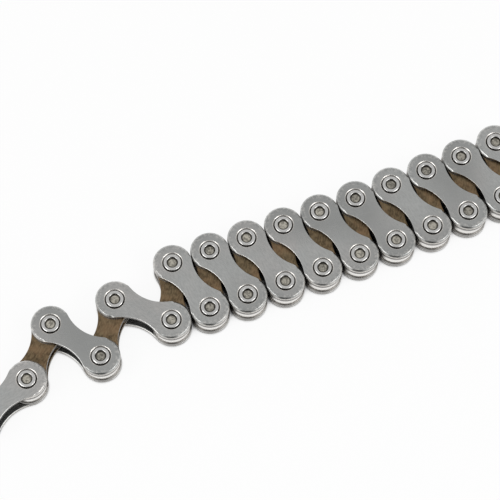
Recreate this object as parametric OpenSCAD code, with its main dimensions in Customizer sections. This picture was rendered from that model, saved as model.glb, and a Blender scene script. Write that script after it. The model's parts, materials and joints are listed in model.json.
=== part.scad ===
// A stretch of half-inch bicycle chain for ten rear sprockets, folded into a zig-zag.
// The chain lies on its side: the plates are level, the pins stand upright,
// and the lower pin ends touch the ground at z = 0.
// Pin places are counted from 0 at the left end. An even link is an outer one
// (two plates on two pins) and an odd link is an inner one (two plates with collars).
// The origin is under the middle of the stretch's own box, and +X runs along the stretch.

/* [Chain] */
// Distance from one pin to the next
pitch = 12.7; // [12.3:0.1:14]
// Clear width between the two inner plates, where a sprocket tooth enters
inner_width = 2.18; // [2.0:0.02:2.4]
// Play between an inner plate and the outer plate beside it
side_play = 0.05; // [0.03:0.01:0.1]

/* [Outer plates] */
// Radius of an outer plate's round ends
outer_end_r = 4.08; // [3.95:0.01:4.12]
// Half the width of an outer plate at its waist
outer_waist = 2.42; // [2.2:0.01:2.9]
// Thickness of an outer plate
outer_thick = 0.8; // [0.7:0.05:1]
// Width of the coined bevel round each end, seen from above
end_bevel_width = 0.35; // [0.2:0.05:0.6]
// Depth of that bevel down the plate's edge
end_bevel_depth = 0.3; // [0.1:0.05:0.45]
// How far the bevel runs to each side of the plate's tip
end_bevel_sweep = 104; // [80:1:112]

/* [Inner plates] */
// Radius of an inner plate's round ends
inner_end_r = 4.08; // [3.95:0.01:4.12]
// Half the width of an inner plate at its waist
inner_waist = 2.36; // [2.2:0.01:2.9]
// Thickness of an inner plate
inner_thick = 0.8; // [0.7:0.05:1]
// Outer radius of the collar that each inner plate forms for its roller
collar_r = 2.4; // [2.3:0.05:2.6]
// Gap between the two collars that meet inside a roller
collar_gap = 0.18; // [0.1:0.02:0.4]
// Width of the bevel that guides the sprocket teeth in
guide_bevel_width = 0.25; // [0.2:0.05:0.5]
// Depth of that bevel
guide_bevel_depth = 0.2; // [0.1:0.05:0.4]
// How far the guide bevel runs to each side of the plate's tip
guide_bevel_sweep = 100; // [80:1:110]

/* [Rollers] */
// Outer radius of a roller
roller_r = 3.85; // [3.7:0.05:3.9]
// Running clearance between a roller and its collars
roller_play = 0.05; // [0.02:0.01:0.1]
// Clearance between a roller's end and the inner plate beside it
roller_end_play = 0.06; // [0.03:0.01:0.1]
// Bevel on a roller's outer corners
roller_bevel = 0.18; // [0.05:0.01:0.3]
// Bevel at the mouths of a roller's bore
roller_mouth = 0.1; // [0.05:0.01:0.2]

/* [Pins] */
// Radius of a pin
pin_r = 1.8; // [1.7:0.01:1.9]
// Running clearance between a pin and an inner plate's bore
pin_play = 0.04; // [0.02:0.01:0.09]
// Interference between a pin and the outer plates that it is pressed into
press = 0.01; // [0.005:0.005:0.02]
// How far a riveted pin end stands above its plate
pin_proud = 0.14; // [0.05:0.01:0.2]
// Bevel round a pin's end
pin_bevel = 0.1; // [0.05:0.01:0.15]
// Radius of the round recess in a pin's end
recess_r = 1.14; // [0.8:0.01:1.3]
// Depth of that recess
recess_depth = 0.42; // [0.2:0.02:0.6]
// Radius of the recess at its mouth
recess_mouth_r = 1.24; // [1.16:0.01:1.4]
// Radius of the countersink round a pin's end, at the plate's face
sink_r = 2.05; // [1.95:0.01:2.3]
// Depth of that countersink
sink_depth = 0.24; // [0.1:0.02:0.4]

/* [Lie of the stretch] */
// Gap between neighbouring plate ends where the folds are packed tight
fold_gap = 0.11; // [0.1:0.01:0.3]
// How much wider than the near folds the far folds stand, so that the band fans out
fan_angle = 0.58; // [0.2:0.02:1]
// Direction of the first link, anticlockwise from +X
first_heading = 41.7; // [35:0.1:50]
// Angle between the first and second links
fold_angle_1 = 151.7; // [145:0.1:157]
// Angle between the second and third links
fold_angle_2 = 76.7; // [72:0.1:80]
// Angle between the third and fourth links
fold_angle_3 = 68.4; // [64:0.1:72]
// Angle between the fourth and fifth links
fold_angle_4 = 80.8; // [76:0.1:84]
// Angle between the fifth and sixth links
fold_angle_5 = 69; // [64:0.1:72]

/* [Hidden] */
$fn = 72;
// Facets of the large circles that cut the waists
waist_facets = 144;
// How far a cutting shape runs past the face that it cuts
past = 0.5;

// Number of outer links, of inner links between them, of all links and of rollers
outer_links = 13;
inner_links = outer_links - 1;
links = outer_links + inner_links;
rollers = 2 * inner_links;

// Heights above the ground, from the lower pin ends up to the middle of the chain
plates_width = inner_width + 2 * (inner_thick + side_play + outer_thick);
pin_length = plates_width + 2 * pin_proud;
mid_z = pin_length / 2;
inner_plate_z = inner_width / 2;
outer_plate_z = inner_plate_z + inner_thick + side_play;
collar_length = (inner_width - collar_gap) / 2;
roller_width = inner_width - 2 * roller_end_play;

// Folds: tight ones stop where neighbouring ends of the larger plates nearly touch
widest_end_r = max(outer_end_r, inner_end_r);
tight_fold = 2 * asin((2 * widest_end_r + fold_gap) / 2 / pitch);
fold_angles = [fold_angle_1, fold_angle_2, fold_angle_3, fold_angle_4, fold_angle_5];

// Angle between the two links that meet at pin k: the odd pins are on the near side
function fold_at(k) =
    k <= len(fold_angles) ? fold_angles[k - 1] : tight_fold + (k % 2 == 0 ? fan_angle : 0);
function turn_at(k) = (k % 2 == 1 ? 1 : -1) * (180 - fold_at(k));
function heading(link) = link == 0 ? first_heading : heading(link - 1) + turn_at(link);
function along(angle) = [cos(angle), sin(angle)];
function raw_pin(k) = k == 0 ? [0, 0] : raw_pin(k - 1) + pitch * along(heading(k - 1));

// The first and last places hold outer plates alone
function end_r_at(k) = k == 0 || k == links ? outer_end_r : widest_end_r;
raw_pins = [for (k = [0:links]) raw_pin(k)];
low_x = min([for (k = [0:links]) raw_pins[k].x - end_r_at(k)]);
high_x = max([for (k = [0:links]) raw_pins[k].x + end_r_at(k)]);
low_y = min([for (k = [0:links]) raw_pins[k].y - end_r_at(k)]);
high_y = max([for (k = [0:links]) raw_pins[k].y + end_r_at(k)]);
box_centre = [(low_x + high_x) / 2, (low_y + high_y) / 2];
pins = [for (p = raw_pins) p - box_centre];

function two_digits(n) = str(n < 10 ? "0" : "", n);
function outer_name(n) =
    n == 1 || n == outer_links ? str("end_link_", two_digits(n)) : str("outer_plates_", two_digits(n));
function pins_name(n) = str("pins_", two_digits(n));
function inner_name(n) = str("inner_plates_", two_digits(n));
function roller_name(n) = str("roller_", two_digits(n));

// Places its children in the middle of a link, with +X towards its second pin
module at_link(link) {
    translate(concat((pins[link] + pins[link + 1]) / 2, mid_z))
        rotate(heading(link))
            children();
}

// Places its children at one end of a link, +X outwards: side -1 is its first pin
module at_end(side) {
    translate([side * pitch / 2, 0, 0])
        rotate(side > 0 ? 0 : 180)
            children();
}

// A waisted plate outline: two round ends joined by arcs that meet them smoothly
module plate_outline(end_r, waist) {
    step = end_r - waist;
    arc_y = (pow(pitch / 2, 2) - step * step) / (2 * step);
    arc_r = arc_y - waist;
    joint_angle = atan2(arc_y, pitch / 2);
    joint = [pitch / 2 - end_r * cos(joint_angle), end_r * sin(joint_angle)];
    difference() {
        union() {
            for (side = [-1, 1])
                translate([side * pitch / 2, 0])
                    circle(end_r);
            square([2 * joint.x, 2 * joint.y], center = true);
        }
        for (side = [-1, 1])
            translate([0, side * arc_y])
                circle(arc_r, $fn = waist_facets);
    }
}

// Cuts a sloping edge round a plate's end, on its upper face at the given height
module end_bevel_cut(end_r, width, depth, sweep, height) {
    slope = width / depth;
    low = height - depth;
    high = height + past;
    outside = end_r + past;
    rotate_extrude(angle = 2 * sweep, start = -sweep)
        polygon([
            [end_r + past * slope, low - past],
            [end_r - (depth + past) * slope, high],
            [outside + past * slope, high],
            [outside + past * slope, low - past]
        ]);
}

// One outer plate, its inner face at z = 0, with a hole at each of the drilled ends
module outer_plate(drilled) {
    difference() {
        linear_extrude(outer_thick)
            plate_outline(outer_end_r, outer_waist);
        for (side = [-1, 1])
            at_end(side) {
                end_bevel_cut(outer_end_r, end_bevel_width, end_bevel_depth, end_bevel_sweep, outer_thick);
                countersink();
            }
        for (side = drilled)
            at_end(side)
                translate([0, 0, -past])
                    cylinder(r = pin_r - press, h = outer_thick + 2 * past);
    }
}

// The groove that a riveted pin end sits in
module countersink() {
    translate([0, 0, outer_thick - sink_depth])
        cylinder(r1 = pin_r - press, r2 = sink_r, h = sink_depth);
}

// Two outer plates facing each other, the lower one turned over
module outer_pair(drilled) {
    for (flip = [0, 1])
        mirror([0, 0, flip])
            translate([0, 0, outer_plate_z])
                outer_plate(drilled);
}

// A pin standing on its middle, with a bevelled and recessed end above and below
module pin() {
    top = pin_length / 2;
    floor_z = top - recess_depth;
    rotate_extrude()
        polygon([
            [0, -floor_z],
            [recess_r, -floor_z],
            [recess_mouth_r, -top],
            [pin_r - pin_bevel, -top],
            [pin_r, -top + pin_bevel],
            [pin_r, top - pin_bevel],
            [pin_r - pin_bevel, top],
            [recess_mouth_r, top],
            [recess_r, floor_z],
            [0, floor_z]
        ]);
}

// One inner plate, its tooth side at z = 0 and its collars hanging below
module inner_plate() {
    difference() {
        union() {
            difference() {
                linear_extrude(inner_thick)
                    plate_outline(inner_end_r, inner_waist);
                for (side = [-1, 1])
                    at_end(side)
                        translate([0, 0, inner_thick])
                            mirror([0, 0, 1])
                                end_bevel_cut(
                                    inner_end_r,
                                    guide_bevel_width,
                                    guide_bevel_depth,
                                    guide_bevel_sweep,
                                    inner_thick
                                );
            }
            for (side = [-1, 1])
                at_end(side)
                    translate([0, 0, -collar_length])
                        cylinder(r = collar_r, h = collar_length + inner_thick / 2);
        }
        for (side = [-1, 1])
            at_end(side)
                translate([0, 0, -collar_length - past])
                    cylinder(r = pin_r + pin_play, h = collar_length + inner_thick + 2 * past);
    }
}

// The two plates and one pin of a link at the end of the stretch, its other hole left open
module end_link(n, open_side) {
    color("silver")
        at_link(2 * (n - 1)) {
            outer_pair([open_side]);
            at_end(-open_side)
                pin();
        }
}

module outer_plates(n) {
    color("silver")
        at_link(2 * (n - 1))
            outer_pair([-1, 1]);
}

module link_pins(n) {
    color("gainsboro")
        at_link(2 * (n - 1))
            for (side = [-1, 1])
                at_end(side)
                    pin();
}

module inner_plates(n) {
    color("rosybrown")
        at_link(2 * n - 1)
            for (flip = [0, 1])
                mirror([0, 0, flip])
                    translate([0, 0, inner_plate_z])
                        inner_plate();
}

// A roller that turns freely on the two collars of its inner link
module roller(n) {
    top = roller_width / 2;
    bore_r = collar_r + roller_play;
    color("darkgray")
        translate(concat(pins[n], mid_z))
            rotate_extrude()
                polygon([
                    [bore_r + roller_mouth, -top],
                    [roller_r - roller_bevel, -top],
                    [roller_r, -top + roller_bevel],
                    [roller_r, top - roller_bevel],
                    [roller_r - roller_bevel, top],
                    [bore_r + roller_mouth, top],
                    [bore_r, top - roller_mouth],
                    [bore_r, -top + roller_mouth]
                ]);
}

end_link(1, -1);  // end_link_01
end_link(outer_links, 1);  // end_link_13
for (n = [2:outer_links - 1])
    outer_plates(n);
for (n = [2:outer_links - 1])
    link_pins(n);
for (n = [1:inner_links])
    inner_plates(n);
for (n = [1:rollers])
    roller(n);
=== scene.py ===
import json
import math

import bmesh
import bpy
from bpy.props import FloatProperty, FloatVectorProperty, IntProperty, PointerProperty
from mathutils import Matrix, Vector

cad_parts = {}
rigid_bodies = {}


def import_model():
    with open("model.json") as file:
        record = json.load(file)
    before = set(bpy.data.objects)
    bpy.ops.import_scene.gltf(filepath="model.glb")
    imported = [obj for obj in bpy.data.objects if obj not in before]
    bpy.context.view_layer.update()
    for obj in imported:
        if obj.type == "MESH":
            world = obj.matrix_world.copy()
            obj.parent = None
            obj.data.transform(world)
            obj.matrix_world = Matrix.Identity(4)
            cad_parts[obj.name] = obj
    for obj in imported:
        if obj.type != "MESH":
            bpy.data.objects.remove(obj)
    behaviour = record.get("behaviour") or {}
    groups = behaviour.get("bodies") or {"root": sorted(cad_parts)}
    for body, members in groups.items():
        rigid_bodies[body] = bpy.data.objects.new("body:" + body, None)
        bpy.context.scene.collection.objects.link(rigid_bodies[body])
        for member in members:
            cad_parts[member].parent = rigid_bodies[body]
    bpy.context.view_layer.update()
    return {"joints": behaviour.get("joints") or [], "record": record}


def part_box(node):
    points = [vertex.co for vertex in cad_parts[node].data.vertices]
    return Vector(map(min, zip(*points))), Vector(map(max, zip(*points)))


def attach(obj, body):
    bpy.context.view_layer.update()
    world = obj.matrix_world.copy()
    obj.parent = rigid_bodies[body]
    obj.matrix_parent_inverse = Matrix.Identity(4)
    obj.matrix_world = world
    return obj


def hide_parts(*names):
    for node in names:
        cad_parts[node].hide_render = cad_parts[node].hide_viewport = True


bl_info = {
    "name": "Bicycle chain stretch",
    "version": (1, 0, 0),
    "blender": (4, 5, 0),
    "location": "3D View > Sidebar > Chain",
    "description": "Plates, pins and rollers of a folded stretch of half-inch bicycle chain",
    "category": "Object",
}

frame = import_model()

MM = 0.001

# The lie of the chain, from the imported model
JOINTS = {joint["name"]: joint for joint in frame["joints"]}
MOUNTS = {mount["name"]: mount for mount in frame["record"]["mounts"]}
PIVOT_COUNT = sum(name.startswith("pivot_") for name in JOINTS)
PIN_PLACES = (
    [Vector(MOUNTS["left_end_hole"]["pos_m"])]
    + [Vector(JOINTS[f"pivot_{place:02d}"]["pos_m"]) for place in range(1, PIVOT_COUNT + 1)]
    + [Vector(MOUNTS["right_end_hole"]["pos_m"])]
)
LINK_COUNT = len(PIN_PLACES) - 1
OUTER_COUNT = (LINK_COUNT + 1) // 2
INNER_COUNT = LINK_COUNT // 2
HALF_PITCH = (PIN_PLACES[1] - PIN_PLACES[0]).length / 2
MID_Z = PIN_PLACES[0].z

# How high the pieces reach above the middle of the chain, and a roller's radius
PIN_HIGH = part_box("pins_02")[1]
ROLLER_LOW, ROLLER_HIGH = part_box("roller_01")
OUTER_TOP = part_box("outer_plates_02")[1].z - MID_Z
INNER_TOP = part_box("inner_plates_01")[1].z - MID_Z
PIN_TOP = PIN_HIGH.z - MID_Z
ROLLER_TOP = ROLLER_HIGH.z - MID_Z
ROLLER_RADIUS = (ROLLER_HIGH.x - ROLLER_LOW.x) / 2


class ChainSizes(bpy.types.PropertyGroup):
    """Sizes of the chain's pieces."""

    outer_end_radius: FloatProperty(
        name="Outer end radius",
        description="Radius of an outer plate's round ends",
        default=4.08 * MM, min=3.9 * MM, max=4.15 * MM, precision=5, unit="LENGTH",
    )
    outer_waist: FloatProperty(
        name="Outer waist",
        description="Half the width of an outer plate at its waist",
        default=2.42 * MM, min=2.0 * MM, max=3.0 * MM, precision=5, unit="LENGTH",
    )
    outer_thickness: FloatProperty(
        name="Outer thickness",
        description="Thickness of an outer plate",
        default=0.8 * MM, min=0.6 * MM, max=1.0 * MM, precision=5, unit="LENGTH",
    )
    bevel_width: FloatProperty(
        name="End bevel width",
        description="Width of the coined bevel round an outer plate's end",
        default=0.35 * MM, min=0.1 * MM, max=0.6 * MM, precision=5, unit="LENGTH",
    )
    bevel_depth: FloatProperty(
        name="End bevel depth",
        description="Depth of the coined bevel down the plate's edge",
        default=0.3 * MM, min=0.1 * MM, max=0.5 * MM, precision=5, unit="LENGTH",
    )
    bevel_sweep: FloatProperty(
        name="End bevel sweep",
        description="How far the bevel runs to each side of the plate's tip",
        default=math.radians(104), min=math.radians(60), max=math.radians(112), subtype="ANGLE",
    )
    inner_end_radius: FloatProperty(
        name="Inner end radius",
        description="Radius of an inner plate's round ends",
        default=4.08 * MM, min=3.9 * MM, max=4.15 * MM, precision=5, unit="LENGTH",
    )
    inner_waist: FloatProperty(
        name="Inner waist",
        description="Half the width of an inner plate at its waist",
        default=2.36 * MM, min=2.0 * MM, max=3.0 * MM, precision=5, unit="LENGTH",
    )
    inner_thickness: FloatProperty(
        name="Inner thickness",
        description="Thickness of an inner plate",
        default=0.8 * MM, min=0.6 * MM, max=1.0 * MM, precision=5, unit="LENGTH",
    )
    guide_width: FloatProperty(
        name="Guide bevel width",
        description="Width of the bevel that guides the sprocket teeth in",
        default=0.25 * MM, min=0.1 * MM, max=0.5 * MM, precision=5, unit="LENGTH",
    )
    guide_depth: FloatProperty(
        name="Guide bevel depth",
        description="Depth of the guide bevel down the plate's edge",
        default=0.2 * MM, min=0.1 * MM, max=0.4 * MM, precision=5, unit="LENGTH",
    )
    guide_sweep: FloatProperty(
        name="Guide bevel sweep",
        description="How far the guide bevel runs to each side of the plate's tip",
        default=math.radians(100), min=math.radians(60), max=math.radians(112), subtype="ANGLE",
    )
    edge_round: FloatProperty(
        name="Edge rounding",
        description="Radius of the plates' rounded edges",
        default=0.09 * MM, min=0.03 * MM, max=0.12 * MM, precision=5, unit="LENGTH",
    )
    collar_radius: FloatProperty(
        name="Collar radius",
        description="Outer radius of the collars that carry a roller",
        default=2.4 * MM, min=2.2 * MM, max=2.6 * MM, precision=5, unit="LENGTH",
    )
    collar_length: FloatProperty(
        name="Collar length",
        description="How far a collar stands out of its inner plate",
        default=1.0 * MM, min=0.5 * MM, max=1.05 * MM, precision=5, unit="LENGTH",
    )
    pin_radius: FloatProperty(
        name="Pin radius",
        description="Radius of a pin",
        default=1.8 * MM, min=1.6 * MM, max=1.9 * MM, precision=5, unit="LENGTH",
    )
    recess_radius: FloatProperty(
        name="Pin recess radius",
        description="Radius of the round recess in a pin's end",
        default=1.12 * MM, min=0.8 * MM, max=1.3 * MM, precision=5, unit="LENGTH",
    )
    recess_depth: FloatProperty(
        name="Pin recess depth",
        description="Depth of the recess in a pin's end",
        default=0.42 * MM, min=0.1 * MM, max=0.6 * MM, precision=5, unit="LENGTH",
    )
    sink_radius: FloatProperty(
        name="Countersink radius",
        description="Radius of the groove round a riveted pin end",
        default=2.05 * MM, min=1.9 * MM, max=2.3 * MM, precision=5, unit="LENGTH",
    )
    round_steps: IntProperty(
        name="Round steps",
        description="Number of steps in a full turn of a turned piece",
        default=48, min=24, max=96,
    )


class ChainColours(bpy.types.PropertyGroup):
    """Colours of the chain's finishes."""

    nickel: FloatVectorProperty(
        name="Nickel",
        description="Satin nickel of the outer plates",
        default=(0.612, 0.622, 0.610), min=0, max=1, subtype="COLOR",
    )
    nickel_warm: FloatVectorProperty(
        name="Warm nickel",
        description="Warmer clouds in the nickel",
        default=(0.645, 0.624, 0.605), min=0, max=1, subtype="COLOR",
    )
    # Burnished, and partly a painted highlight: the rounded edges and the lip round each hole are
    # coloured brighter than the face
    nickel_burnish_and_highlight: FloatVectorProperty(
        name="Nickel edge",
        description="Burnished edges and hole rims of the outer plates",
        default=(0.81, 0.78, 0.74), min=0, max=1, subtype="COLOR",
    )
    nickel_wall: FloatVectorProperty(
        name="Nickel wall",
        description="Duller sheared walls of the outer plates",
        default=(0.65, 0.62, 0.575), min=0, max=1, subtype="COLOR",
    )
    brown: FloatVectorProperty(
        name="Brown steel",
        description="Heat-tinted steel of the inner plates",
        default=(0.205, 0.152, 0.090), min=0, max=1, subtype="COLOR",
    )
    brown_patch: FloatVectorProperty(
        name="Brown patch",
        description="Redder patches in the tint of the inner plates",
        default=(0.268, 0.172, 0.098), min=0, max=1, subtype="COLOR",
    )
    sheared: FloatVectorProperty(
        name="Sheared edge",
        description="Bare steel of the inner plates' rounded edges",
        default=(0.54, 0.53, 0.51), min=0, max=1, subtype="COLOR",
    )
    brown_wall: FloatVectorProperty(
        name="Brown wall",
        description="Duller sheared walls of the inner plates",
        default=(0.21, 0.205, 0.20), min=0, max=1, subtype="COLOR",
    )
    pin: FloatVectorProperty(
        name="Pin steel",
        description="Bright turned steel of the pin ends",
        default=(0.74, 0.735, 0.72), min=0, max=1, subtype="COLOR",
    )
    recess: FloatVectorProperty(
        name="Pin recess",
        description="Dull floor of the recess in a pin's end",
        default=(0.45, 0.427, 0.368), min=0, max=1, subtype="COLOR",
    )
    roller: FloatVectorProperty(
        name="Roller steel",
        description="Tumbled steel of the rollers",
        default=(0.915, 0.89, 0.855), min=0, max=1, subtype="COLOR",
    )


# Selecting and starting meshes

# Corners nearer to each other than this become one
MERGE_DISTANCE = 0.002 * MM

# How far a corner may lie from a level or a circle and still count as on it
PLACE_TOLERANCE = 0.001 * MM

# Radius of the tiny triangle that becomes the first corner of a chain of edges
SEED_RADIUS = 0.01 * MM

# Edges with a sharper turn than this stay crisp under smooth shading
PLATE_CREASE = math.radians(34)
TURNED_CREASE = math.radians(38)


def select_only(obj):
    """Leaves one object, or none, selected in object mode."""
    if bpy.context.object and bpy.context.object.mode != "OBJECT":
        bpy.ops.object.mode_set(mode="OBJECT")
    bpy.ops.object.select_all(action="DESELECT")
    if obj:
        obj.select_set(True)
        bpy.context.view_layer.objects.active = obj


def start_mesh(name):
    """Opens a new empty mesh for editing."""
    select_only(None)
    bpy.ops.mesh.primitive_plane_add(size=MM, location=(0, 0, 0))
    obj = bpy.context.object
    obj.name = name
    obj.data.name = name
    bpy.ops.object.mode_set(mode="EDIT")
    bpy.ops.mesh.select_all(action="SELECT")
    bpy.ops.mesh.delete(type="VERT")
    return obj


def keep_selected(obj, wanted):
    """Narrows the selection to the vertices that a test accepts."""
    mesh = bmesh.from_edit_mesh(obj.data)
    for vertex in mesh.verts:
        vertex.select = vertex.select and wanted(vertex)
    mesh.select_flush(False)
    bmesh.update_edit_mesh(obj.data)


def add_chain(points):
    """Adds a chain of edges through the points and leaves it selected."""
    bpy.ops.mesh.select_all(action="DESELECT")
    bpy.ops.mesh.primitive_circle_add(vertices=3, radius=SEED_RADIUS, location=points[0])
    bpy.ops.mesh.merge(type="CENTER")
    for point, next_point in zip(points, points[1:]):
        step = next_point - point
        bpy.ops.mesh.extrude_vertices_move(TRANSFORM_OT_translate={"value": step})
    bpy.ops.mesh.select_linked()


def close_up():
    """Merges the meeting ends of the newly swept piece, leaving it selected."""
    bpy.ops.mesh.select_linked()
    bpy.ops.mesh.remove_doubles(threshold=MERGE_DISTANCE)


def sweep(centre, angle, steps):
    """Sweeps what is selected round an upright axis, anticlockwise from above."""
    bpy.ops.mesh.spin(steps=steps, angle=angle, center=centre, axis=(0, 0, -1))


def name_local_places(obj):
    """Stores each corner's place on the piece, in millimetres, as its own UV map."""
    while obj.data.uv_layers:
        obj.data.uv_layers.remove(obj.data.uv_layers[0])
    layer = obj.data.uv_layers.new(name="place_mm")
    for loop in obj.data.loops:
        place = obj.data.vertices[loop.vertex_index].co
        layer.data[loop.index].uv = (place.x / MM, place.y / MM)


def finish_mesh(obj, crease):
    """Closes the mesh, turns its faces outwards, shades it smooth and stores its local places."""
    bpy.ops.mesh.select_all(action="SELECT")
    bpy.ops.mesh.remove_doubles(threshold=MERGE_DISTANCE)
    bpy.ops.mesh.normals_make_consistent(inside=False)
    bpy.ops.object.mode_set(mode="OBJECT")
    bpy.ops.object.shade_smooth_by_angle(angle=crease)
    name_local_places(obj)


# Waisted plates

END_STEPS = 46
WAIST_STEPS = 14

# Width of the lip that the rivet set pressed round each pin
LIP_WIDTH = 0.19 * MM

# How much further a stamped edge rolls over the face than down the wall
ROLL_OVER = 1.7

# How much rounder a plate's blunter edge is than its sharper one
BLUNTER = 1.3

# Width of the narrow ring of faces between each rounded edge and the flat middle of a face
FACE_RING = 0.14 * MM

# Clearances of the pin in its collars, and of the collars in their roller
PIN_PLAY = 0.04 * MM
ROLLER_PLAY = 0.05 * MM


class Outline:
    """A plate's outline: two round ends joined by arcs that meet them smoothly."""

    def __init__(self, end_radius, waist):
        step = end_radius - waist
        self.end_radius = end_radius
        self.arc_y = (HALF_PITCH**2 - step**2) / (2 * step)
        self.joint_angle = math.atan2(self.arc_y, HALF_PITCH)

    def add_rim(self, profile):
        """Sweeps a profile of (offset inwards, height) points round the whole outline."""
        outwards = Vector((-math.cos(self.joint_angle), -math.sin(self.joint_angle), 0))
        centre = Vector((HALF_PITCH, 0, 0))
        add_chain(
            [
                centre + outwards * (self.end_radius - offset) + Vector((0, 0, height))
                for offset, height in profile
            ]
        )
        end_turn = 2 * (math.pi - self.joint_angle)
        waist_turn = math.pi - 2 * self.joint_angle
        sweep((HALF_PITCH, 0, 0), end_turn, END_STEPS)
        sweep((0, self.arc_y, 0), -waist_turn, WAIST_STEPS)
        sweep((-HALF_PITCH, 0, 0), end_turn, END_STEPS)
        sweep((0, -self.arc_y, 0), -waist_turn, WAIST_STEPS)
        close_up()

    def shape_ends(self, obj, at_waist, at_end, sweep_angle):
        """Moves one level of the rim, round both tips, from the waist's profile to the ends'."""
        (waist_offset, waist_height), (end_offset, end_height) = at_waist, at_end
        radius = self.end_radius - waist_offset
        scale = (self.end_radius - end_offset) / radius
        for side in (-1, 1):
            tip = Vector((side * HALF_PITCH, 0, waist_height))

            def on_level(vertex):
                reach = vertex.co - tip
                angle = math.atan2(reach.y, side * reach.x)
                on_circle = abs(reach.xy.length - radius) < PLACE_TOLERANCE
                return on_circle and abs(reach.z) < PLACE_TOLERANCE and abs(angle) < sweep_angle

            bpy.ops.mesh.select_all(action="SELECT")
            keep_selected(obj, on_level)
            bpy.ops.transform.resize(value=(scale, scale, 1), center_override=tip)
            bpy.ops.transform.translate(value=(0, 0, end_height - waist_height))


def add_shaped_rim(obj, outline, profile, sweep_angle):
    """Adds a plate's rim; the profile holds a waist's and an end's point for each level."""
    outline.add_rim([at_waist for at_waist, at_end in profile])
    for at_waist, at_end in profile:
        if at_waist != at_end:
            outline.shape_ends(obj, at_waist, at_end, sweep_angle)


def add_turned(centre, profile, steps):
    """Turns a profile of (radius, height) points round an upright axis."""
    add_chain([centre + Vector((radius, 0, height)) for radius, height in profile])
    sweep(centre, 2 * math.pi, steps)
    close_up()


def fill_flat(obj, height):
    """Fills the flat face at one height, between the rim and the two turned holes."""
    bpy.ops.mesh.select_all(action="SELECT")
    keep_selected(
        obj,
        lambda vertex: vertex.is_boundary and abs(vertex.co.z - height) < PLACE_TOLERANCE,
    )
    bpy.ops.mesh.fill(use_beauty=True)


def finish_plate(obj, hole_profile, top, steps):
    """Turns the profile at both of a plate's holes, and fills and finishes the plate."""
    for side in (-1, 1):
        add_turned(Vector((side * HALF_PITCH, 0, 0)), hole_profile, steps)
    fill_flat(obj, 0)
    fill_flat(obj, top)
    finish_mesh(obj, PLATE_CREASE)


def rounded_edge(radius, height, rise, reach=1.0):
    """Points of a rounded edge, from a plate's wall to its face at the height.

    The wall lies below the face where the rise is 1, and above it where the rise is -1. The
    rounding reaches further over the face than down the wall where the reach is over 1.
    """
    turns = [math.radians(angle) for angle in (0, 30, 60, 90)]
    return [
        (reach * radius * (1 - math.cos(turn)), height - rise * radius * (1 - math.sin(turn)))
        for turn in turns
    ]


def model_outer_plate(sizes):
    """One outer plate with its inner face at z = 0, ready to be copied."""
    obj = start_mesh("outer_plate_pattern")
    outline = Outline(sizes.outer_end_radius, sizes.outer_waist)
    top = sizes.outer_thickness
    soft = sizes.edge_round
    blunt = BLUNTER * soft
    width, depth = sizes.bevel_width, sizes.bevel_depth
    low_edge = rounded_edge(blunt, 0, -1, ROLL_OVER)[::-1]
    low_rim = [(ROLL_OVER * blunt + FACE_RING, 0), *low_edge]
    waist_rim = [*rounded_edge(soft, top, 1, ROLL_OVER), (ROLL_OVER * soft + FACE_RING, top)]
    # The coined bevel, with a rounded corner to the wall and to the face
    end_rim = [
        (0, top - depth - 0.4 * soft),
        (0.2 * soft, top - depth + 0.1 * soft),
        (width - 0.2 * soft, top - 0.25 * soft),
        (width + 0.2 * soft, top),
        (width + 0.2 * soft + FACE_RING, top),
    ]
    rim = [(point, point) for point in low_rim] + list(zip(waist_rim, end_rim))
    add_shaped_rim(obj, outline, rim, sizes.bevel_sweep)
    hole = sizes.pin_radius
    sink = sizes.sink_radius
    lip = sink + LIP_WIDTH
    # The hole, the groove round the pin's end, and the lip outside the groove
    hole_profile = [
        (lip + FACE_RING, 0),
        (hole + soft, 0),
        (hole, soft),
        (hole, top - 0.28 * MM),
        (hole + 0.04 * MM, top - 0.24 * MM),
        (sink - 0.02 * MM, top - 0.18 * MM),
        (sink + 0.02 * MM, top - 0.13 * MM),
        (lip - 0.05 * MM, top - 0.03 * MM),
        (lip, top),
        (lip + FACE_RING, top),
    ]
    finish_plate(obj, hole_profile, top, sizes.round_steps)
    return obj


def model_inner_plate(sizes):
    """One inner plate with its tooth side at z = 0 and its collars below, ready to be copied."""
    obj = start_mesh("inner_plate_pattern")
    outline = Outline(sizes.inner_end_radius, sizes.inner_waist)
    top = sizes.inner_thickness
    soft = sizes.edge_round
    blunt = BLUNTER * soft
    width, depth = sizes.guide_width, sizes.guide_depth
    waist_rim = [(soft + FACE_RING, 0), *rounded_edge(soft, 0, -1)[::-1]]
    # The guide bevel, with a rounded corner to the face and to the wall
    end_rim = [
        (width + 0.4 * soft + FACE_RING, 0),
        (width + 0.4 * soft, 0),
        (width - 0.7 * soft, 0.5 * soft),
        (0.5 * soft, depth - 0.4 * soft),
        (0, depth + 0.8 * soft),
    ]
    top_rim = [*rounded_edge(blunt, top, 1), (blunt + FACE_RING, top)]
    rim = list(zip(waist_rim, end_rim)) + [(point, point) for point in top_rim]
    add_shaped_rim(obj, outline, rim, sizes.guide_sweep)
    bore = sizes.pin_radius + PIN_PLAY
    collar = sizes.collar_radius
    collar_end = -sizes.collar_length
    fillet = 0.12 * MM
    # The fillet down to the collar, the collar, its bore, and the bore's mouth above
    collar_profile = [
        (collar + 3 * fillet, 0),
        (collar + fillet, 0),
        (collar + 0.3 * fillet, -0.3 * fillet),
        (collar, -fillet),
        (collar, collar_end + soft),
        (collar - soft, collar_end),
        (bore + soft, collar_end),
        (bore, collar_end + soft),
        (bore, top - 3 * soft),
        (bore + 3 * soft, top),
        (collar + 3 * fillet, top),
    ]
    finish_plate(obj, collar_profile, top, sizes.round_steps)
    return obj


# Turned pieces


def mirrored(half):
    """A profile's mirror image below the middle plane, run through the other way round."""
    return [(radius, -height) for radius, height in reversed(half)]


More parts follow.
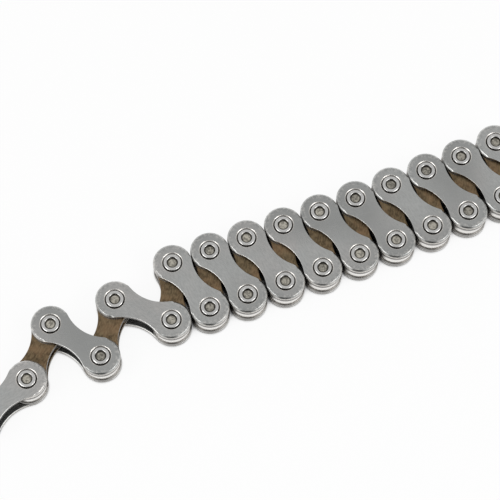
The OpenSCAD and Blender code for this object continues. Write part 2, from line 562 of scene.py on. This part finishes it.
def model_pin(sizes):
    """One pin with a riveted and recessed end above and below, centred on the origin."""
    obj = start_mesh("pin_pattern")
    radius, top = sizes.pin_radius, PIN_TOP
    recess = sizes.recess_radius
    floor = top - sizes.recess_depth
    face = OUTER_TOP
    flare = 0.03 * MM
    # The end flared over its plate, the flat ring, the recess's rounded mouth, and its floor
    half = [
        (radius, face - 0.3 * MM),
        (radius + 0.5 * flare, face - 0.06 * MM),
        (radius + flare, face + 0.02 * MM),
        (radius + 0.2 * flare, top - 0.07 * MM),
        (radius - 0.05 * MM, top - 0.03 * MM),
        (radius - 0.16 * MM, top - 0.007 * MM),
        (radius - 0.28 * MM, top),
        (recess + 0.26 * MM, top),
        (recess + 0.14 * MM, top - 0.012 * MM),
        (recess + 0.06 * MM, top - 0.05 * MM),
        (recess + 0.01 * MM, top - 0.12 * MM),
        (recess - 0.02 * MM, floor + 0.1 * MM),
        (recess - 0.07 * MM, floor + 0.02 * MM),
        (recess - 0.2 * MM, floor - 0.005 * MM),
        (0.3 * recess, floor - 0.015 * MM),
        (0.001 * MM, floor - 0.02 * MM),
    ]
    add_turned(Vector((0, 0, 0)), mirrored(half) + half, sizes.round_steps)
    finish_mesh(obj, TURNED_CREASE)
    return obj


def model_roller(sizes):
    """One roller, centred on the origin."""
    obj = start_mesh("roller_pattern")
    top, radius = ROLLER_TOP, ROLLER_RADIUS
    bore = sizes.collar_radius + ROLLER_PLAY
    # The bore, its rounded mouth, the end face, and the rounded rim
    half = [
        (bore, 0.3 * top),
        (bore, top - 0.12 * MM),
        (bore + 0.03 * MM, top - 0.04 * MM),
        (bore + 0.12 * MM, top),
        (radius - 0.2 * MM, top),
        (radius - 0.1 * MM, top - 0.03 * MM),
        (radius - 0.03 * MM, top - 0.1 * MM),
        (radius, top - 0.2 * MM),
        (radius, 0.3 * top),
    ]
    profile = [*half, *mirrored(half), half[0]]
    add_turned(Vector((0, 0, 0)), profile, sizes.round_steps)
    finish_mesh(obj, TURNED_CREASE)
    return obj


# Copies in their places


def plate_places(link, rise):
    """Where a link's plates lie: one at a rise above the middle, and one turned over below it."""
    start, end = PIN_PLACES[link], PIN_PLACES[link + 1]
    heading = math.atan2(end.y - start.y, end.x - start.x)
    lie = Matrix.Translation((start + end) / 2) @ Matrix.Rotation(heading, 4, "Z")
    lift = Matrix.Translation((0, 0, rise))
    return {"upper": lie @ lift, "lower": lie @ Matrix.Rotation(math.pi, 4, "X") @ lift}


def outer_link_node(link, kind):
    """The node of a kind for an outer link; an end link's plates and pin share one node."""
    return f"end_link_{link:02d}" if link in (1, OUTER_COUNT) else f"{kind}_{link:02d}"


def place_copy(pattern, name, place, material, body, node):
    """Copies a pattern with its own mesh, puts its place in the mesh and sets it riding."""
    select_only(pattern)
    bpy.ops.object.duplicate(linked=False)
    piece = bpy.context.object
    piece.name = name
    piece.data.name = name
    piece.matrix_world = place
    bpy.ops.object.transform_apply(location=True, rotation=True, scale=True)
    piece.data.materials.append(material)
    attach(piece, body)
    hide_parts(node)


def remove_pattern(pattern):
    """Removes a pattern's mesh, and its object with it."""
    bpy.data.meshes.remove(pattern.data)


# Node trees


class Nodes:
    """A node tree under construction, with short calls for its nodes."""

    def __init__(self, tree):
        self.tree = tree

    def add(self, kind):
        return self.tree.nodes.new(f"ShaderNode{kind}")

    def join(self, source, target):
        """Links a socket to an input, or sets the input to a plain value."""
        if isinstance(source, bpy.types.NodeSocket):
            self.tree.links.new(source, target)
        else:
            target.default_value = source

    def split(self, vector):
        """A vector's parts, named X, Y and Z."""
        node = self.add("SeparateXYZ")
        self.join(vector, node.inputs[0])
        return node.outputs

    def math(self, operation, first, second=0.0):
        """A sum or the like of two sockets, or of a socket and a number."""
        node = self.add("Math")
        node.operation = operation
        self.join(first, node.inputs[0])
        self.join(second, node.inputs[1])
        return node.outputs[0]

    def product(self, first, second):
        return self.math("MULTIPLY", first, second)

    def spread(self, value, low, high, out_low=0.0, out_high=1.0, kind="LINEAR"):
        """Maps a value from one range to another, clamped."""
        node = self.add("MapRange")
        node.interpolation_type = kind
        self.join(value, node.inputs["Value"])
        numbers = {"From Min": low, "From Max": high, "To Min": out_low, "To Max": out_high}
        for name, number in numbers.items():
            node.inputs[name].default_value = number
        return node.outputs["Result"]

    def fade(self, value, edges, shades):
        """A soft step from one shade to the other between two edges of a value."""
        return self.spread(value, *edges, *shades, kind="SMOOTHSTEP")

    def openness(self, distance, rays):
        """How open a surface lies, from 0 to 1, among all that is nearer than a distance."""
        node = self.add("AmbientOcclusion")
        node.samples = rays
        node.inputs["Distance"].default_value = distance
        return node.outputs["AO"]


# Finishes

HALF_PITCH_MM = HALF_PITCH / MM

# Painted shade in the crevices: how far apart surfaces may stand and still get it, the rays that
# feel for them, how open they lie where it is darkest and where it ends, its cover and its colour
CREVICE = 1.5 * MM
CREVICE_RAYS = 6
CREVICE_OPENNESS = (0.15, 0.75)
CREVICE_COVER = 0.93
CREVICE_SHADE = (0.012, 0.010, 0.008)

# Painted shade in the groove round a pin's end, and in the corner of the pin's recess
GROOVE_SHADE = (0.03, 0.027, 0.023)
RECESS_CORNER_SHADE = (0.02, 0.017, 0.014)

# How level a plate's surface lies, from 0 to 1, where its wall turns into the rounded edge,
# and where the edge starts to turn into the face
WALL_TO_EDGE = (0.12, 0.4)
FACE_START = 0.45


class Finish(Nodes):
    """A metal finish under construction.

    Its place is the Object coordinate in metres, and local is the place on the piece in
    millimetres. So a noise's scale counts its spots along a metre or a millimetre. Facing is
    how far a surface faces up, from -1 to 1, and level is how level it lies, from 0 to 1.
    """

    def __init__(self, name):
        self.material = bpy.data.materials.new(name)
        self.material.use_nodes = True
        super().__init__(self.material.node_tree)
        self.shader = self.tree.nodes["Principled BSDF"]
        self.shader.inputs["Metallic"].default_value = 1.0
        self.place = self.add("TexCoord").outputs["Object"]
        uv_map = self.add("UVMap")
        uv_map.uv_map = "place_mm"
        self.local = uv_map.outputs["UV"]
        normal = self.add("NewGeometry").outputs["True Normal"]
        self.facing = self.split(normal)["Z"]
        self.level = self.math("ABSOLUTE", self.facing)

    def noise(self, place, scale, detail, crowding=(1.0, 1.0, 1.0), turn=0.0):
        """Spots at a scale, crowded along an axis, or drawn out along it where it is under 1."""
        mapping = self.add("Mapping")
        mapping.vector_type = "TEXTURE"
        self.join(place, mapping.inputs["Vector"])
        mapping.inputs["Rotation"].default_value = (0, 0, turn)
        mapping.inputs["Scale"].default_value = [1 / share for share in crowding]
        node = self.add("TexNoise")
        self.join(mapping.outputs["Vector"], node.inputs["Vector"])
        node.inputs["Scale"].default_value = scale
        node.inputs["Detail"].default_value = detail
        node.inputs["Roughness"].default_value = 0.6
        return node.outputs["Fac"]

    def scratches(self, fineness, turn):
        """Sparse hairlines in patches, at an angle to the piece's length."""
        lines = self.noise(self.local, fineness, 1.0, crowding=(0.012, 1.0, 1.0), turn=turn)
        patches = self.noise(self.place, 190.0 + 40.0 * turn, 2.0)
        return self.product(self.spread(lines, 0.66, 0.73), self.spread(patches, 0.42, 0.62))

    def band(self, value, low, high, soft):
        """1 inside a band of values, falling softly to 0 outside it."""
        rise = self.spread(value, low - soft, low)
        return self.product(rise, self.spread(value, high, high + soft, 1.0, 0.0))

    def reach(self, across):
        """Distance from a pin's middle in millimetres: across is how far its middle lies out."""
        sides = self.split(self.local)
        along = self.math("SUBTRACT", self.math("ABSOLUTE", sides["X"]), across)
        along_squared = self.product(along, along)
        side_squared = self.product(sides["Y"], sides["Y"])
        return self.math("SQRT", self.math("ADD", along_squared, side_squared))

    def blend(self, share, first, second):
        """A mix of two colours, either of which may be a socket: the second at a share of 1."""
        node = self.add("Mix")
        node.data_type = "RGBA"
        self.join(share, node.inputs["Factor"])
        sockets = [socket for socket in node.inputs if socket.type == "RGBA"]
        for socket, colour in zip(sockets, (first, second)):
            is_socket = isinstance(colour, bpy.types.NodeSocket)
            self.join(colour if is_socket else (*colour, 1.0), socket)
        return next(socket for socket in node.outputs if socket.type == "RGBA")

    def layer(self, base, colour, value, low, high, cover=1.0):
        """Lays a colour over a base: none at the value's low end, the full cover at its high."""
        return self.blend(self.spread(value, low, high, 0.0, cover), base, colour)

    def layer_plate(self, wall, edge, face, face_level):
        """Gives a plate its colours: the wall's, the rounded edge's, and the face's where level."""
        edged = self.layer(edge, face, self.level, FACE_START, face_level)
        return self.layer(wall, edged, self.level, *WALL_TO_EDGE)

    def bump(self, height, distance, below=None):
        """The normal of a relief, over that of another one below it."""
        node = self.add("Bump")
        self.join(height, node.inputs["Height"])
        node.inputs["Distance"].default_value = distance
        if below:
            self.join(below, node.inputs["Normal"])
        return node.outputs["Normal"]

    def join_up(self, colour, roughness, normal):
        """Joins up the shader, with painted shade darkening the colour in the crevices."""
        openness = self.openness(CREVICE, CREVICE_RAYS)
        # Painted shade: the colour darkens where other surfaces close in nearby
        painted_shade = self.spread(openness, *CREVICE_OPENNESS, CREVICE_COVER, 0.0)
        self.join(self.blend(painted_shade, colour, CREVICE_SHADE), self.shader.inputs["Base Color"])
        self.join(roughness, self.shader.inputs["Roughness"])
        self.join(normal, self.shader.inputs["Normal"])
        return self.material


def shade(colour, factor):
    """A lighter or darker shade of a colour."""
    return tuple(min(1.0, channel * factor) for channel in colour)


def nickel_face(finish, colours, clouds, grain, lines):
    """The nickel of a face: tints, darker batches, clouds, grain, streaks and hairlines."""
    nickel = colours.nickel
    tints = finish.noise(finish.place, 90.0, 2.0)
    tinted = finish.layer(nickel, colours.nickel_warm, tints, 0.4, 0.6)
    batches = finish.noise(finish.place, 55.0, 0.0)
    toned = finish.layer(tinted, shade(nickel, 0.6), batches, 0.38, 0.62, 0.9)
    clouded = finish.blend(finish.product(clouds, 0.5), toned, shade(nickel, 0.8))
    grained = finish.layer(clouded, shade(nickel, 0.68), grain, 0.38, 0.66, 0.4)
    streaks = finish.noise(finish.local, 1.3, 3.0, crowding=(0.7, 2.4, 1.0))
    streaked = finish.layer(grained, shade(nickel, 0.66), streaks, 0.4, 0.62, 0.45)
    return finish.blend(finish.product(lines, 0.3), streaked, shade(nickel, 1.3))


def nick_rim(finish, colours, face, radius, rim):
    """Bright nicks and dark pits on a face, along the rim round the plate's ends."""
    outwards = finish.math("ABSOLUTE", finish.split(finish.local)["X"])
    at_ends = finish.spread(outwards, HALF_PITCH_MM - 3.0, HALF_PITCH_MM + 1.0)
    by_rim = finish.product(at_ends, finish.band(radius, rim - 0.8, rim + 0.1, 0.4))
    knocks = finish.noise(finish.place, 1900.0, 2.0)
    nicks = finish.product(by_rim, finish.spread(knocks, 0.53, 0.61, 0.0, 0.38))
    nicked = finish.blend(nicks, face, colours.nickel_burnish_and_highlight)
    pits = finish.product(by_rim, finish.spread(knocks, 0.39, 0.47, 0.45, 0.0))
    return finish.blend(pits, nicked, shade(colours.nickel, 0.55))


def sheared_wall(finish, colours, height, radius, rim):
    """The nickel's wall, darkened by painted shade: along the waist on upper plates, and on lower
    plates more round the ends than along the waist.
    """
    past_rim = (radius, rim + 0.02, rim + 0.3)
    # Painted shade on the walls, by height and by distance from the plate's ends
    upper = finish.spread(height, -0.1 * MM, 0.1 * MM)
    painted_shade = finish.product(upper, finish.spread(*past_rim))
    lower = finish.math("SUBTRACT", 1.0, upper)
    lower_wall_shade = finish.product(lower, finish.spread(*past_rim, 0.8, 0.25))
    wall_shade = finish.math("MAXIMUM", lower_wall_shade, painted_shade)
    return finish.blend(wall_shade, colours.nickel_wall, shade(colours.nickel_wall, 0.2))


def nickel_finish(sizes, colours):
    """Satin nickel, tinted and clouded, with grain, hairlines and nicked rims; painted highlights
    on the rounded edges and the lip, and painted shade on the walls, the inner faces and in the
    groove.
    """
    finish = Finish("satin_nickel")
    clouds = finish.spread(finish.noise(finish.place, 260.0, 5.0), 0.32, 0.68)
    grain = finish.noise(finish.local, 2.6, 5.0, crowding=(1.0, 6.0, 1.0))
    speckle = finish.noise(finish.place, 3600.0, 2.0)
    crossing = finish.math("MAXIMUM", finish.scratches(9.0, 1.1), finish.scratches(12.0, -0.5))
    lines = finish.math("MAXIMUM", crossing, finish.scratches(16.0, 0.2))
    radius = finish.reach(HALF_PITCH_MM)
    height = finish.math("SUBTRACT", finish.split(finish.place)["Z"], MID_Z)
    rim = sizes.outer_end_radius / MM
    smooth_face = nickel_face(finish, colours, clouds, grain, lines)
    face = nick_rim(finish, colours, smooth_face, radius, rim)
    wall = sheared_wall(finish, colours, height, radius, rim)
    # The rounded edges take the brighter edge colour: partly burnish, partly a painted highlight
    plate = finish.layer_plate(wall, colours.nickel_burnish_and_highlight, face, 0.75)
    groove = sizes.sink_radius / MM
    # Painted highlight: a brighter ring on the lip outside the groove
    lip = finish.band(radius, groove + 0.02, groove + LIP_WIDTH / MM, 0.03)
    lip_highlighted = finish.blend(lip, plate, shade(colours.nickel_burnish_and_highlight, 1.1))
    # Painted shade on each plate's inner face, the one that faces into the chain
    outwards = finish.product(finish.math("SIGN", height), finish.facing)
    inner_face = finish.spread(outwards, -0.99, -0.95, 0.7, 0.0)
    inner_face_shaded = finish.blend(inner_face, lip_highlighted, shade(colours.nickel, 0.3))
    # Painted shade darkens the groove round the pin's end, and makes it a little rougher
    in_groove = finish.band(radius, sizes.pin_radius / MM - 0.2, groove - 0.09, 0.06)
    hollow_shade = finish.product(in_groove, finish.spread(speckle, 0.3, 0.7, 0.75, 0.95))
    colour = finish.blend(hollow_shade, inner_face_shaded, GROOVE_SHADE)
    satin = finish.spread(grain, 0.3, 0.7, 0.25, 0.34)
    dull = finish.math("ADD", satin, finish.product(hollow_shade, 0.3))
    rough = finish.math("ADD", dull, finish.spread(clouds, 0.0, 1.0, 0.03, -0.02))
    fine = finish.bump(speckle, 0.0015 * MM)
    cut = finish.bump(lines, -0.002 * MM, below=fine)
    return finish.join_up(colour, rough, finish.bump(grain, 0.005 * MM, below=cut))


def brown_finish(sizes, colours):
    """Heat-tinted brown steel: mottled and streaked, rubbed bare round the ends and edges."""
    finish = Finish("brown_steel")
    clouds = finish.noise(finish.place, 520.0, 5.0)
    patches = finish.noise(finish.place, 170.0, 2.0)
    grain = finish.noise(finish.local, 1.5, 5.0, crowding=(0.7, 2.0, 1.0))
    speckle = finish.noise(finish.place, 3000.0, 2.0)
    tint = finish.layer(colours.brown, colours.brown_patch, patches, 0.4, 0.6)
    mottled = finish.layer(tint, shade(colours.brown, 0.38), clouds, 0.4, 0.62, 0.8)
    streaked = finish.layer(mottled, shade(colours.brown, 1.8), grain, 0.44, 0.62, 0.5)
    radius = finish.reach(HALF_PITCH_MM)
    rim = sizes.inner_end_radius / MM
    rubbed = finish.spread(radius, rim - 0.55, rim - 0.25)
    by_ends = finish.product(rubbed, finish.spread(radius, rim + 0.1, rim + 0.2, 1.0, 0.0))
    bare = shade(colours.sheared, 0.5)
    face = finish.blend(finish.product(by_ends, 0.85), streaked, bare)
    colour = finish.layer_plate(colours.brown_wall, colours.sheared, face, 0.8)
    rough = finish.spread(grain, 0.3, 0.7, 0.3, 0.44)
    fine = finish.bump(speckle, 0.002 * MM)
    return finish.join_up(colour, rough, finish.bump(grain, 0.006 * MM, below=fine))


def pin_finish(sizes, colours):
    """Bright rivet rings, with painted shade in the corner and a dull, punched floor with painted
    glints down in the recess.
    """
    finish = Finish("pin_steel")
    speckle = finish.noise(finish.place, 2400.0, 4.0)
    clouds = finish.noise(finish.place, 420.0, 3.0)
    punched = finish.noise(finish.place, 1500.0, 2.0)
    batches = finish.noise(finish.place, 90.0, 0.0)
    bright = finish.blend(clouds, shade(colours.pin, 0.92), shade(colours.pin, 1.08))
    dull = shade(colours.recess, 0.65)
    plain = finish.layer(dull, shade(colours.recess, 1.4), batches, 0.4, 0.6)
    clouded = finish.layer(plain, shade(colours.recess, 1.5), clouds, 0.35, 0.65, 0.6)
    marked = finish.layer(clouded, shade(colours.recess, 0.3), punched, 0.44, 0.56, 0.65)
    # Painted glints: bright specks scattered over the recess floor
    floor = finish.layer(marked, shade(colours.recess, 1.8), speckle, 0.5, 0.62, 0.5)
    radius = finish.reach(0.0)
    recess = sizes.recess_radius / MM
    in_recess = finish.spread(radius, recess - 0.02, recess + 0.05, 1.0, 0.0)
    end = finish.blend(in_recess, bright, floor)
    # Painted shade, made uneven by noise, darkens the corner of the recess
    corner = finish.band(radius, recess - 0.22, recess + 0.04, 0.1)
    hollow_shade = finish.product(corner, finish.spread(punched, 0.4, 0.6, 0.96, 0.6))
    colour = finish.blend(hollow_shade, end, RECESS_CORNER_SHADE)
    worn = finish.spread(in_recess, 0.0, 1.0, 0.2, 0.34)
    rough = finish.math("ADD", worn, finish.spread(speckle, 0.3, 0.7, -0.03, 0.05))
    dents = finish.bump(finish.product(punched, in_recess), 0.05 * MM)
    return finish.join_up(colour, rough, finish.bump(speckle, 0.004 * MM, below=dents))


def roller_finish(colours):
    """Tumbled steel with marks round the roller, and painted shade towards its top under its upper
    plate.
    """
    finish = Finish("roller_steel")
    marks = finish.noise(finish.place, 400.0, 4.0, crowding=(1.0, 1.0, 7.0))
    rings = finish.noise(finish.place, 900.0, 3.0, crowding=(0.03, 0.03, 5.0))
    speckle = finish.noise(finish.place, 3000.0, 3.0)
    tumbled = finish.blend(marks, shade(colours.roller, 0.88), shade(colours.roller, 1.1))
    ringed = finish.layer(tumbled, shade(colours.roller, 0.6), rings, 0.4, 0.65, 0.45)
    height = finish.split(finish.place)["Z"]
    # Painted shade: the roller darkens towards its top, under the upper plate
    painted_shade = shade(colours.roller, 0.25)
    low, high = MID_Z + 0.45 * MM, MID_Z + 0.95 * MM
    colour = finish.layer(ringed, painted_shade, height, low, high, 0.75)
    rough = finish.spread(speckle, 0.3, 0.7, 0.22, 0.36)
    return finish.join_up(colour, rough, finish.bump(marks, 0.005 * MM))


# Operators


class CHAIN_OT_outer_plates(bpy.types.Operator):
    """Makes the outer plates, two to each outer link"""

    bl_idname = "chain.outer_plates"
    bl_label = "Outer plates"

    def execute(self, context):
        sizes = context.scene.chain_sizes
        pattern = model_outer_plate(sizes)
        material = nickel_finish(sizes, context.scene.chain_colours)
        for number in range(1, OUTER_COUNT + 1):
            body = f"outer_link_{number:02d}"
            node = outer_link_node(number, "outer_plates")
            places = plate_places(2 * number - 2, OUTER_TOP - sizes.outer_thickness)
            for word, place in places.items():
                name = f"outer_plate_{number:02d}_{word}"
                place_copy(pattern, name, place, material, body, node)
        remove_pattern(pattern)
        return {"FINISHED"}


class CHAIN_OT_inner_plates(bpy.types.Operator):
    """Makes the inner plates with their collars, two to each inner link"""

    bl_idname = "chain.inner_plates"
    bl_label = "Inner plates"

    def execute(self, context):
        sizes = context.scene.chain_sizes
        pattern = model_inner_plate(sizes)
        material = brown_finish(sizes, context.scene.chain_colours)
        for number in range(1, INNER_COUNT + 1):
            body = f"inner_link_{number:02d}"
            node = f"inner_plates_{number:02d}"
            places = plate_places(2 * number - 1, INNER_TOP - sizes.inner_thickness)
            for word, place in places.items():
                name = f"inner_plate_{number:02d}_{word}"
                place_copy(pattern, name, place, material, body, node)
        remove_pattern(pattern)
        return {"FINISHED"}


class CHAIN_OT_pins(bpy.types.Operator):
    """Makes the riveted pins, one at each pivot"""

    bl_idname = "chain.pins"
    bl_label = "Pins"

    def execute(self, context):
        sizes = context.scene.chain_sizes
        pattern = model_pin(sizes)
        material = pin_finish(sizes, context.scene.chain_colours)
        for number in range(1, PIVOT_COUNT + 1):
            link = number // 2 + 1
            name, body = f"pin_{number:02d}", f"outer_link_{link:02d}"
            node = outer_link_node(link, "pins")
            place = Matrix.Translation(PIN_PLACES[number])
            place_copy(pattern, name, place, material, body, node)
        remove_pattern(pattern)
        return {"FINISHED"}


class CHAIN_OT_rollers(bpy.types.Operator):
    """Makes the rollers, one round each pair of collars"""

    bl_idname = "chain.rollers"
    bl_label = "Rollers"

    def execute(self, context):
        pattern = model_roller(context.scene.chain_sizes)
        material = roller_finish(context.scene.chain_colours)
        for number in range(1, PIVOT_COUNT + 1):
            name, node = f"turned_roller_{number:02d}", f"roller_{number:02d}"
            place = Matrix.Translation(PIN_PLACES[number])
            place_copy(pattern, name, place, material, node, node)
        remove_pattern(pattern)
        return {"FINISHED"}


# Stage

# The camera that fits the photograph's pins: the frame's width in pixels, how steeply and from
# how far it looks down, the pixels to a metre at that distance, the point of the pins' top
# plane in the middle of the picture, its sensor and its clip distances
FRAME_PIXELS = 500
VIEW_ELEVATION = math.radians(68.0)
VIEW_DISTANCE = 0.411
PIXELS_PER_METRE = 4768.0
VIEW_CENTRE = Vector((-3.20 * MM, 5.83 * MM, PIN_HIGH.z))
SENSOR_WIDTH = 36.0
CLIP_DISTANCES = (0.01, 10.0)

# The floor: its size, its white, and its glow where it is seen
FLOOR_SIZE = 6.0
FLOOR_WHITE = (0.9, 0.9, 0.9, 1)
FLOOR_GLOW = 0.92

# Its shadows at the pieces' foot and in the gaps between them: the rays that feel for them, how
# near a piece has to be, how open the floor lies where a shadow is deepest and where it ends,
# and its glow there
FLOOR_RAYS = 8
FOOT_SHADOW = 1.0 * MM
FOOT_OPENNESS = (0.4, 0.68)
FOOT_GLOW = (0.2, FLOOR_GLOW)
GAP_SHADOW = 5.0 * MM
GAP_OPENNESS = (0.05, 0.45)
GAP_GLOW = (0.1, 1.0)

# How far up a direction points where the world starts and ends turning grey, and how light
# it stays overhead
SKY_RISE = (0.05, 0.5)
OVERHEAD = 0.6

# The dark flag in front: where it stands across, how far it fades to its sides, the same
# for its depth in front, and its shade
FLAG_MIDDLE = -0.08
FLAG_SIDES = (0.3, 0.5)
FLAG_DEPTHS = (-0.6, -0.4)
FLAG_SHADE = 0.1

# The softboxes: their distance and size, and for each one its angles in degrees round and
# above the floor, and its radiance
LAMP_DISTANCE = 0.7
LAMP_SIZE = (0.36, 0.42)
LAMPS = {"left_softbox": (207, 46, 2.7), "right_softbox": (-27, 46, 2.9)}


def add_seen_share(nodes):
    """1 for rays that show the background: the camera's own, reflected and transmitted."""
    light_path = nodes.add("LightPath")
    share = light_path.outputs["Is Camera Ray"]
    for name in ("Is Glossy Ray", "Is Transmission Ray"):
        share = nodes.math("MAXIMUM", share, light_path.outputs[name])
    return share


def add_floor():
    """A plain white floor that glows a little where it is seen, so that shadows stay faint."""
    select_only(None)
    bpy.ops.mesh.primitive_plane_add(size=FLOOR_SIZE, location=(0, 0, 0))
    floor = bpy.context.object
    floor.name = "floor"
    material = bpy.data.materials.new("floor_white")
    material.use_nodes = True
    nodes = Nodes(material.node_tree)
    shader = nodes.tree.nodes["Principled BSDF"]
    shader.inputs["Base Color"].default_value = FLOOR_WHITE
    shader.inputs["Roughness"].default_value = 1.0
    shader.inputs["Specular IOR Level"].default_value = 0.0
    glow = nodes.add("Emission")
    glow.inputs["Strength"].default_value = 1.0
    at_foot = nodes.fade(nodes.openness(FOOT_SHADOW, FLOOR_RAYS), FOOT_OPENNESS, FOOT_GLOW)
    in_gap = nodes.fade(nodes.openness(GAP_SHADOW, FLOOR_RAYS), GAP_OPENNESS, GAP_GLOW)
    lit = nodes.product(at_foot, in_gap)
    mix = nodes.add("MixShader")
    nodes.join(nodes.product(lit, add_seen_share(nodes)), mix.inputs["Fac"])
    nodes.join(shader.outputs["BSDF"], mix.inputs[1])
    nodes.join(glow.outputs["Emission"], mix.inputs[2])
    nodes.join(mix.outputs["Shader"], nodes.tree.nodes["Material Output"].inputs["Surface"])
    floor.data.materials.append(material)


def add_softbox(name, azimuth, elevation, radiance):
    """A softbox that faces the chain, from angles in degrees round and above the floor."""
    select_only(None)
    around, above = math.radians(azimuth), math.radians(elevation)
    level = math.cos(above)
    towards = Vector((level * math.cos(around), level * math.sin(around), math.sin(above)))
    bpy.ops.object.light_add(type="AREA", location=towards * LAMP_DISTANCE)
    lamp = bpy.context.object
    lamp.name = name
    lamp.data.shape = "RECTANGLE"
    lamp.data.size, lamp.data.size_y = LAMP_SIZE
    lamp.data.energy = radiance * math.pi * LAMP_SIZE[0] * LAMP_SIZE[1]
    lamp.rotation_euler = towards.to_track_quat("Z", "Y").to_euler()


def add_world():
    """A soft studio: white at the horizon, greyer overhead, and plain white to the camera.

    A dark flag stands in front of the chain, at the height of the camera's own reflection.
    """
    world = bpy.data.worlds.new("studio")
    bpy.context.scene.world = world
    world.use_nodes = True
    nodes = Nodes(world.node_tree)
    background = nodes.tree.nodes["Background"]
    direction = nodes.split(nodes.add("TexCoord").outputs["Generated"])
    sky = nodes.fade(direction["Z"], SKY_RISE, (1.0, OVERHEAD))
    aside = nodes.math("SUBTRACT", direction["X"], FLAG_MIDDLE)
    narrow = nodes.fade(nodes.math("ABSOLUTE", aside), FLAG_SIDES, (1.0, 0.0))
    in_front = nodes.fade(direction["Y"], FLAG_DEPTHS, (1.0, 0.0))
    flag = nodes.fade(nodes.product(narrow, in_front), (0.0, 1.0), (1.0, FLAG_SHADE))
    is_camera = nodes.add("LightPath").outputs["Is Camera Ray"]
    seen = nodes.math("MAXIMUM", nodes.product(sky, flag), is_camera)
    nodes.join(seen, background.inputs["Strength"])
    background.inputs["Color"].default_value = (1, 1, 1, 1)


def add_camera():
    """The photograph's camera, in front of the chain and above it."""
    select_only(None)
    back = Vector((0, -math.cos(VIEW_ELEVATION), math.sin(VIEW_ELEVATION)))
    bpy.ops.object.camera_add(location=VIEW_CENTRE + back * VIEW_DISTANCE)
    camera = bpy.context.object
    camera.name = "photo_camera"
    camera.rotation_euler = (-back).to_track_quat("-Z", "Y").to_euler()
    camera.data.sensor_width = SENSOR_WIDTH
    camera.data.lens = PIXELS_PER_METRE * VIEW_DISTANCE / FRAME_PIXELS * SENSOR_WIDTH
    camera.data.clip_start, camera.data.clip_end = CLIP_DISTANCES
    bpy.context.scene.camera = camera


class CHAIN_OT_stage(bpy.types.Operator):
    """Makes the floor, the studio light and the camera"""

    bl_idname = "chain.stage"
    bl_label = "Stage"

    def execute(self, context):
        context.scene.view_settings.view_transform = "Standard"
        add_floor()
        add_world()
        for name, (azimuth, elevation, radiance) in LAMPS.items():
            add_softbox(name, azimuth, elevation, radiance)
        add_camera()
        return {"FINISHED"}


class CHAIN_PT_pieces(bpy.types.Panel):
    """Lists the chain's operators, sizes and colours"""

    bl_idname = "CHAIN_PT_pieces"
    bl_label = "Bicycle chain"
    bl_space_type = "VIEW_3D"
    bl_region_type = "UI"
    bl_category = "Chain"

    def draw(self, context):
        for operator in OPERATORS:
            self.layout.operator(operator.bl_idname)
        for group in (context.scene.chain_sizes, context.scene.chain_colours):
            box = self.layout.box()
            for name in group.__annotations__:
                box.prop(group, name)


OPERATORS = (
    CHAIN_OT_outer_plates,
    CHAIN_OT_inner_plates,
    CHAIN_OT_pins,
    CHAIN_OT_rollers,
    CHAIN_OT_stage,
)
CLASSES = (ChainSizes, ChainColours, *OPERATORS, CHAIN_PT_pieces)


def register():
    for entry in CLASSES:
        bpy.utils.register_class(entry)
    bpy.types.Scene.chain_sizes = PointerProperty(type=ChainSizes)
    bpy.types.Scene.chain_colours = PointerProperty(type=ChainColours)


def unregister():
    del bpy.types.Scene.chain_colours
    del bpy.types.Scene.chain_sizes
    for entry in reversed(CLASSES):
        bpy.utils.unregister_class(entry)


def main():
    register()
    bpy.ops.chain.outer_plates()
    bpy.ops.chain.inner_plates()
    bpy.ops.chain.pins()
    bpy.ops.chain.rollers()
    bpy.ops.chain.stage()


if __name__ == "__main__":
    main()
